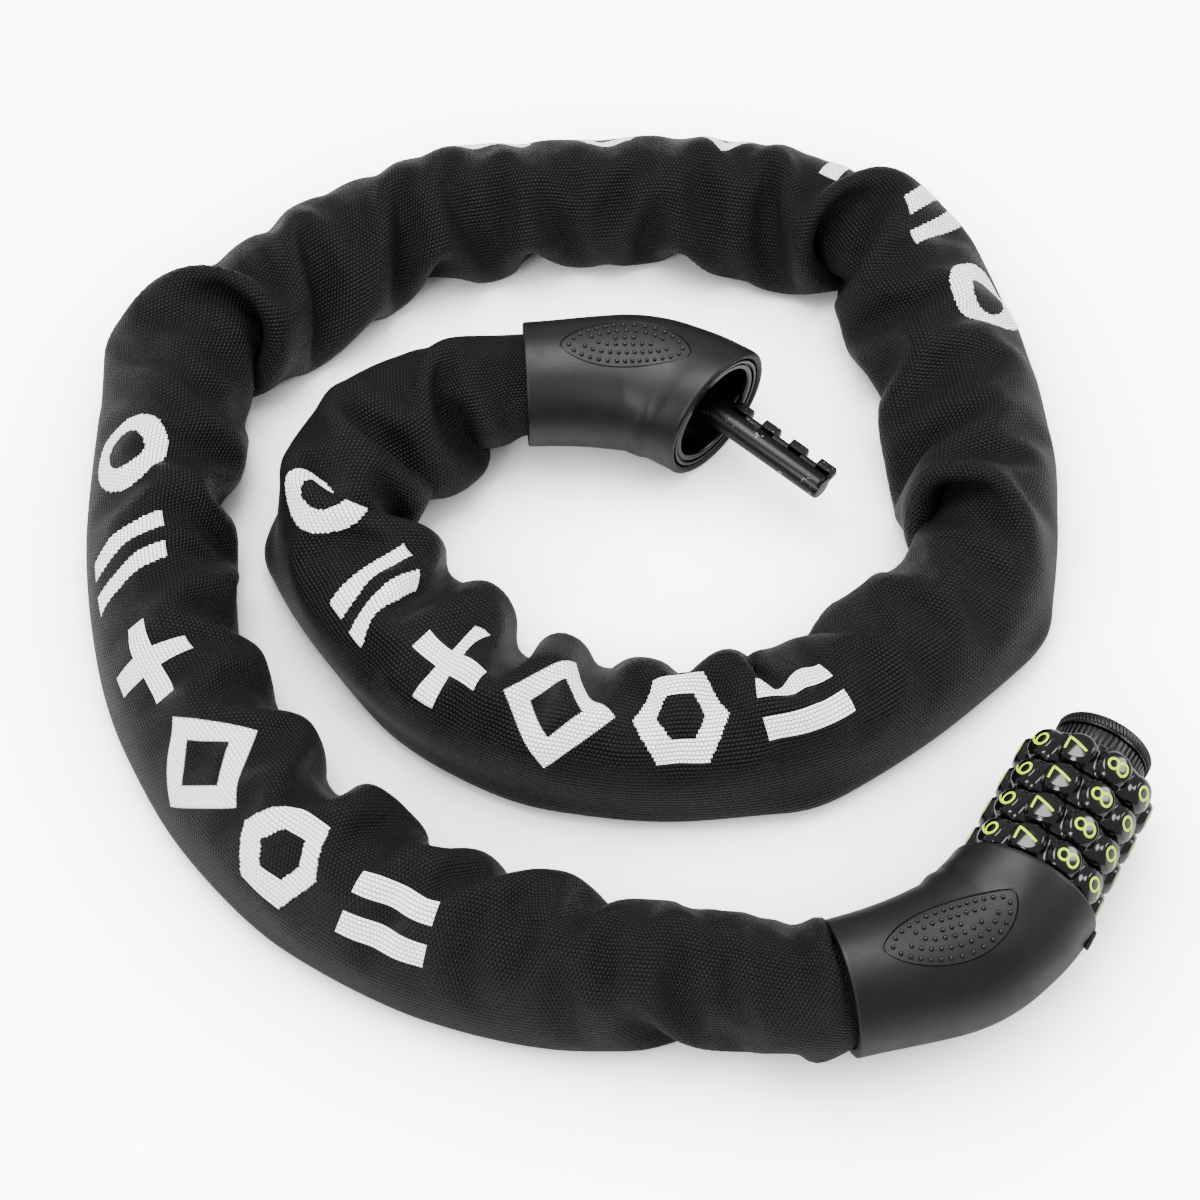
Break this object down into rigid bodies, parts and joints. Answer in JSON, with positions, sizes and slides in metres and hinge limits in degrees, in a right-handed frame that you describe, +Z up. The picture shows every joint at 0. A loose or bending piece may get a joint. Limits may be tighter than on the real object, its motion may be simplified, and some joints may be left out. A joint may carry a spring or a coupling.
{
  "type": "combination chain lock",
  "caption": "Square-link security chain in a woven sleeve, with a combination dial head on one end and a toothed shank head on the other, lying in a loose spiral.",
  "frame": {"origin": "centre of the object's outline on the surface that it lies on", "axes": "+Z up; the dial axis points 60 degrees from +X towards +Y, the shank axis 41.5 degrees from +X towards -Y"},
  "size_m": [0.2598, 0.2707, 0.037],
  "materials": {
    "cover_abs": "moulded satin black",
    "grip_rubber": "soft moulded",
    "dial_abs": "polished black",
    "code_brass": "machined",
    "knob_abs": "ribbed black",
    "liner_abs": "moulded gloss black",
    "washer_acetal": "natural white",
    "shank_steel": "black coating, worn on edges",
    "chain_steel": "zinc plated",
    "sleeve_nylon": "woven nylon",
    "bright_steel": "plated",
    "anchor_zinc": "die cast"
  },
  "bodies": {
    "lock": {"dial_head_cover": "cover_abs", "dial_head_grip_top": "grip_rubber", "dial_head_grip_bottom": "grip_rubber", "core_barrel": "anchor_zinc", "dial_washers": "washer_acetal", "end_plate": "liner_abs", "reset_spring": "bright_steel", "end_cap": "knob_abs", "dial_head_anchor": "anchor_zinc", "core_pin": "bright_steel", "dial_head_chain_pin": "bright_steel", "dial_head_set_screw": "bright_steel", "dial_head_sleeve_clamp": "bright_steel", "shank_head_cover": "cover_abs", "shank_head_grip_top": "grip_rubber", "shank_head_grip_bottom": "grip_rubber", "cup_liner": "liner_abs", "shank": "shank_steel", "shank_head_anchor": "anchor_zinc", "shank_pin": "bright_steel", "shank_head_chain_pin": "bright_steel", "shank_head_set_screw": "bright_steel", "shank_head_sleeve_clamp": "bright_steel", "flat_links": "chain_steel", "upright_links": "chain_steel", "sleeve": "sleeve_nylon"},
    "dial_1_body": {"dial_1": "dial_abs", "code_ring_1": "code_brass", "click_spring_1": "bright_steel"},
    "dial_2_body": {"dial_2": "dial_abs", "code_ring_2": "code_brass", "click_spring_2": "bright_steel"},
    "dial_3_body": {"dial_3": "dial_abs", "code_ring_3": "code_brass", "click_spring_3": "bright_steel"},
    "dial_4_body": {"dial_4": "dial_abs", "code_ring_4": "code_brass", "click_spring_4": "bright_steel"},
    "reset_body": {"reset_ring": "knob_abs"}
  },
  "joints": [
    {"name": "dial_1_turn", "type": "hinge", "parent": "lock", "child": "dial_1_body", "pos_m": [0.0972, -0.095, 0.0185], "axis": [0.5, 0.866, 0], "continuous": true},
    {"name": "dial_2_turn", "type": "hinge", "parent": "lock", "child": "dial_2_body", "pos_m": [0.0972, -0.095, 0.0185], "axis": [0.5, 0.866, 0], "continuous": true},
    {"name": "dial_3_turn", "type": "hinge", "parent": "lock", "child": "dial_3_body", "pos_m": [0.0972, -0.095, 0.0185], "axis": [0.5, 0.866, 0], "continuous": true},
    {"name": "dial_4_turn", "type": "hinge", "parent": "lock", "child": "dial_4_body", "pos_m": [0.0972, -0.095, 0.0185], "axis": [0.5, 0.866, 0], "continuous": true},
    {"name": "reset_turn", "type": "hinge", "parent": "lock", "child": "reset_body", "pos_m": [0.0972, -0.095, 0.0185], "axis": [0.5, 0.866, 0], "range_deg": [0, 90]}
  ]
}
